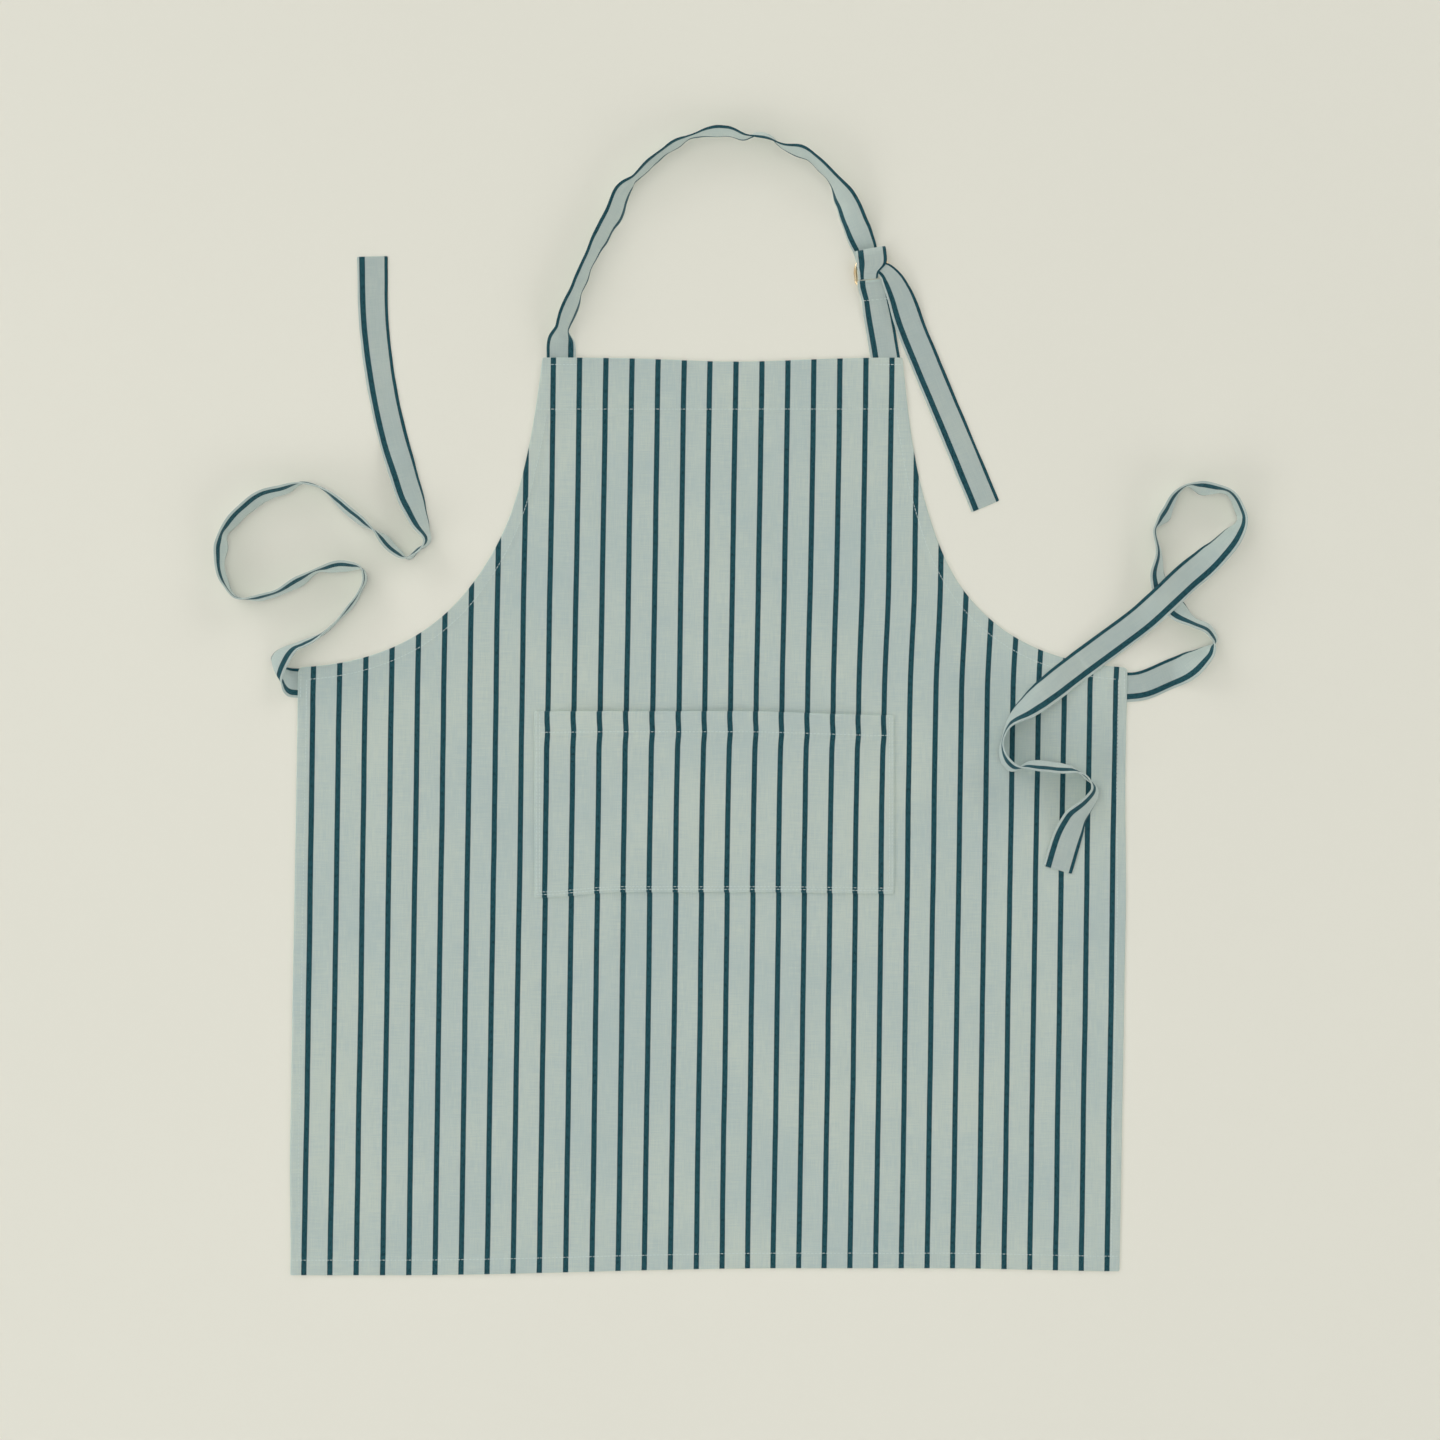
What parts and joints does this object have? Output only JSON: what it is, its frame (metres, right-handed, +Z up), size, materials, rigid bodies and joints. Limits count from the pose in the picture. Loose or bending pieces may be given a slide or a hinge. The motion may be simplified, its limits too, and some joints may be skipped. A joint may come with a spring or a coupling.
{
  "type": "bib apron",
  "caption": "Full-length bib apron of narrow-striped cotton with a wide patch pocket, long waist ties and a neck strap threaded through a brass D-ring.",
  "frame": {"origin": "on the surface the apron lies on, under the middle of the cloth and its short strap and ring, free straps not counted", "axes": "+Z up out of the front of the cloth, +Y from the bottom hem towards the neck, +X to the viewer's right"},
  "size_m": [0.8753, 0.9768, 0.0288],
  "materials": {
    "cloth": "plain weave cotton, pale blue-green with dark teal twill stripes",
    "tape": "the same cotton folded into a tape, one stripe near each edge",
    "thread": "matt pale sewing thread",
    "ring": "polished, slightly dulled"
  },
  "bodies": {
    "apron": {"body_panel": "cloth", "pocket": "cloth", "neck_strap": "tape", "ring_strap": "tape", "left_tie": "tape", "right_tie": "tape", "bib_hem_thread": "thread", "bottom_hem_thread": "thread", "left_side_hem_thread": "thread", "right_side_hem_thread": "thread", "left_armhole_thread": "thread", "right_armhole_thread": "thread", "pocket_mouth_thread": "thread", "pocket_outer_thread": "thread", "pocket_inner_thread": "thread", "neck_strap_end_thread": "thread", "ring_strap_end_thread": "thread", "ring_loop_thread": "thread", "left_tie_end_thread": "thread", "right_tie_end_thread": "thread"},
    "ring": {"d_ring": "ring"}
  },
  "joints": [
    {"name": "ring_hinge", "type": "hinge", "parent": "apron", "child": "ring", "pos_m": [0.14, 0.41, 0.0032], "axis": [0.9952, 0.0976, 0], "range_deg": [-2, 2]}
  ]
}
